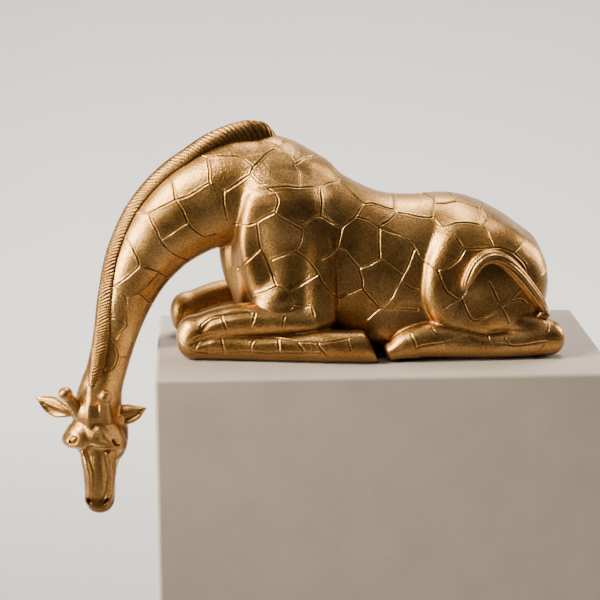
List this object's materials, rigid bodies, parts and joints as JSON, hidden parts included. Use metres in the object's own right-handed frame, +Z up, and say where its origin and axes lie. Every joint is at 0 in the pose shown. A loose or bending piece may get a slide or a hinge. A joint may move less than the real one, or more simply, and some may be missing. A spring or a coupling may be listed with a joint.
{
  "type": "giraffe figurine",
  "caption": "Lying giraffe figurine with folded legs; the long neck hangs over the edge of a shelf and the face looks at the viewer.",
  "frame": {"origin": "middle of the felt sheet's underside, on the surface that the figure lies on", "axes": "+X from the chest towards the rump, +Y from the left flank towards the right one, +Z up; the neck and head hang below z = 0 on the -X side"},
  "size_m": [0.2787, 0.0848, 0.211],
  "materials": {
    "gold_finish": "brushed antique gold over cast resin",
    "steel_rod": "plain drawn rod",
    "counterweight": "raw casting, hidden",
    "dark_felt": "pressed felt"
  },
  "bodies": {
    "root": {"trunk_shell": "gold_finish", "neck_casting": "gold_finish", "mane_crest": "gold_finish", "head_casting": "gold_finish", "ear_left": "gold_finish", "ear_right": "gold_finish", "ossicone_left": "gold_finish", "ossicone_right": "gold_finish", "foreleg_left": "gold_finish", "foreleg_right": "gold_finish", "hindleg_left": "gold_finish", "hindleg_right": "gold_finish", "tail": "gold_finish", "base_plate": "gold_finish", "neck_rod": "steel_rod", "ballast_block": "counterweight", "felt_sheet": "dark_felt"}
  },
  "joints": []
}
